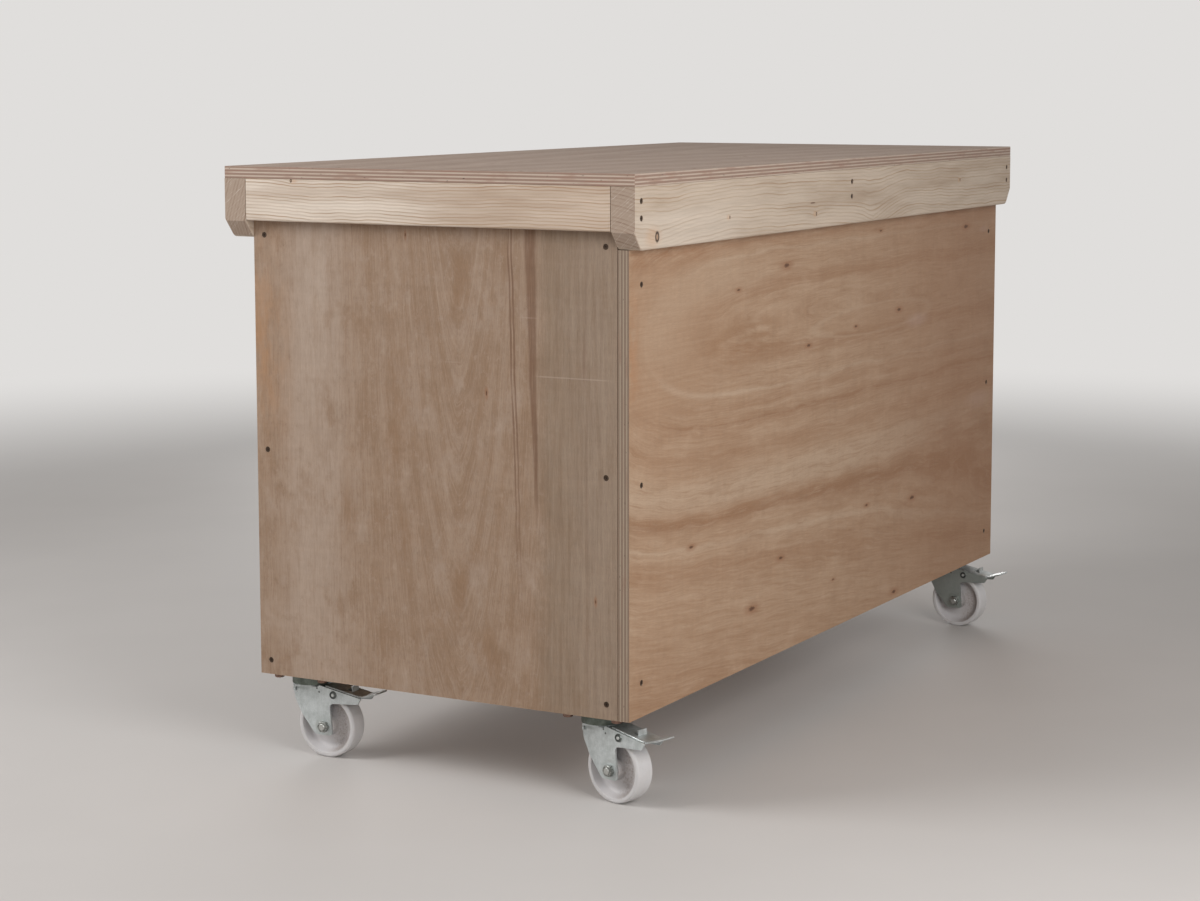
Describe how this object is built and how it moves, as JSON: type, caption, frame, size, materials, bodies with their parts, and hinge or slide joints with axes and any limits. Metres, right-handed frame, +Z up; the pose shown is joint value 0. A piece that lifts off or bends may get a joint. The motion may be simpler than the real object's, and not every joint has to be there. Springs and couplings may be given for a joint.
{
  "type": "assembly table",
  "caption": "Wheeled assembly table: plywood top flush on softwood rails, plywood panels on one long side and both ends, open rear bay, braked swivel castors.",
  "frame": {"origin": "on the floor, under the centre of the table top", "axes": "+X along the table's length, +Y across it towards the open long side, +Z up"},
  "size_m": [1.5, 0.733, 0.908],
  "materials": {
    "top_plywood": "sanded plywood, unvarnished",
    "front_plywood": "softwood plywood, face grain level, unvarnished",
    "end_plywood": "softwood plywood, face grain upright, unvarnished",
    "board_plywood": "softwood plywood, unvarnished",
    "rail_timber": "planed spruce",
    "end_timber": "planed spruce",
    "post_timber": "planed spruce",
    "wood_screw": "dull zinc, in shade",
    "castor_zinc": "zinc-plated pressed steel",
    "castor_bolt": "bright zinc",
    "plate_screw": "yellow-passivated zinc",
    "bearing_steel": "plain steel",
    "wheel_nylon": "off-white moulded nylon"
  },
  "bodies": {
    "root": {"board_screws": "wood_screw", "bottom_board": "board_plywood", "castor_ball_races": "bearing_steel", "castor_kingpins": "bearing_steel", "castor_plate_screws": "plate_screw", "castor_plate_washers": "plate_screw", "cross_rail": "end_timber", "end_panel_screws": "wood_screw", "front_left_castor_plate": "castor_zinc", "front_left_post": "post_timber", "front_panel": "front_plywood", "front_panel_screws": "wood_screw", "front_rail": "rail_timber", "front_right_castor_plate": "castor_zinc", "front_right_post": "post_timber", "left_end_panel": "end_plywood", "left_end_rail": "end_timber", "rail_screws": "wood_screw", "rear_left_castor_plate": "castor_zinc", "rear_left_post": "post_timber", "rear_rail": "rail_timber", "rear_right_castor_plate": "castor_zinc", "rear_right_post": "post_timber", "right_end_panel": "end_plywood", "right_end_rail": "end_timber", "top_board": "top_plywood", "top_screws": "wood_screw"},
    "front_left_swivel": {"front_left_fork": "castor_zinc", "front_left_axle_bolt": "castor_bolt", "front_left_axle_nut": "castor_bolt", "front_left_axle_sleeve": "bearing_steel", "front_left_brake_pin": "castor_bolt"},
    "front_left_wheel": {"front_left_wheel": "wheel_nylon"},
    "front_left_pedal": {"front_left_brake_lever": "castor_zinc", "front_left_brake_shoe": "castor_zinc"},
    "front_right_swivel": {"front_right_fork": "castor_zinc", "front_right_axle_bolt": "castor_bolt", "front_right_axle_nut": "castor_bolt", "front_right_axle_sleeve": "bearing_steel", "front_right_brake_pin": "castor_bolt"},
    "front_right_wheel": {"front_right_wheel": "wheel_nylon"},
    "front_right_pedal": {"front_right_brake_lever": "castor_zinc", "front_right_brake_shoe": "castor_zinc"},
    "rear_left_swivel": {"rear_left_fork": "castor_zinc", "rear_left_axle_bolt": "castor_bolt", "rear_left_axle_nut": "castor_bolt", "rear_left_axle_sleeve": "bearing_steel", "rear_left_brake_pin": "castor_bolt"},
    "rear_left_wheel": {"rear_left_wheel": "wheel_nylon"},
    "rear_left_pedal": {"rear_left_brake_lever": "castor_zinc", "rear_left_brake_shoe": "castor_zinc"},
    "rear_right_swivel": {"rear_right_fork": "castor_zinc", "rear_right_axle_bolt": "castor_bolt", "rear_right_axle_nut": "castor_bolt", "rear_right_axle_sleeve": "bearing_steel", "rear_right_brake_pin": "castor_bolt"},
    "rear_right_wheel": {"rear_right_wheel": "wheel_nylon"},
    "rear_right_pedal": {"rear_right_brake_lever": "castor_zinc", "rear_right_brake_shoe": "castor_zinc"}
  },
  "joints": [
    {"name": "front_left_swivel_turn", "type": "hinge", "parent": "root", "child": "front_left_swivel", "pos_m": [-0.675, -0.256, 0.11], "axis": [0, 0, 1], "continuous": true},
    {"name": "front_left_wheel_spin", "type": "hinge", "parent": "front_left_swivel", "child": "front_left_wheel", "pos_m": [-0.68347, -0.28996, 0.05], "axis": [0.9703, -0.2419, 0], "continuous": true},
    {"name": "front_left_pedal_press", "type": "hinge", "parent": "front_left_swivel", "child": "front_left_pedal", "pos_m": [-0.68746, -0.30597, 0.1005], "axis": [0.9703, -0.2419, 0], "range_deg": [0, 11]},
    {"name": "front_right_swivel_turn", "type": "hinge", "parent": "root", "child": "front_right_swivel", "pos_m": [0.675, -0.256, 0.11], "axis": [0, 0, 1], "continuous": true},
    {"name": "front_right_wheel_spin", "type": "hinge", "parent": "front_right_swivel", "child": "front_right_wheel", "pos_m": [0.67256, -0.29091, 0.05], "axis": [0.9976, -0.0698, 0], "continuous": true},
    {"name": "front_right_pedal_press", "type": "hinge", "parent": "front_right_swivel", "child": "front_right_pedal", "pos_m": [0.67141, -0.30737, 0.1005], "axis": [0.9976, -0.0698, 0], "range_deg": [0, 11]},
    {"name": "rear_left_swivel_turn", "type": "hinge", "parent": "root", "child": "rear_left_swivel", "pos_m": [-0.675, 0.256, 0.11], "axis": [0, 0, 1], "continuous": true},
    {"name": "rear_left_wheel_spin", "type": "hinge", "parent": "rear_left_swivel", "child": "rear_left_wheel", "pos_m": [-0.67378, 0.22102, 0.05], "axis": [0.9994, 0.0349, 0], "continuous": true},
    {"name": "rear_left_pedal_press", "type": "hinge", "parent": "rear_left_swivel", "child": "rear_left_pedal", "pos_m": [-0.6732, 0.20453, 0.1005], "axis": [0.9994, 0.0349, 0], "range_deg": [0, 11]},
    {"name": "rear_right_swivel_turn", "type": "hinge", "parent": "root", "child": "rear_right_swivel", "pos_m": [0.675, 0.256, 0.11], "axis": [0, 0, 1], "continuous": true},
    {"name": "rear_right_wheel_spin", "type": "hinge", "parent": "rear_right_swivel", "child": "rear_right_wheel", "pos_m": [0.67439, 0.22101, 0.05], "axis": [0.9998, -0.0175, 0], "continuous": true},
    {"name": "rear_right_pedal_press", "type": "hinge", "parent": "rear_right_swivel", "child": "rear_right_pedal", "pos_m": [0.6741, 0.20451, 0.1005], "axis": [0.9998, -0.0175, 0], "range_deg": [0, 11]}
  ]
}
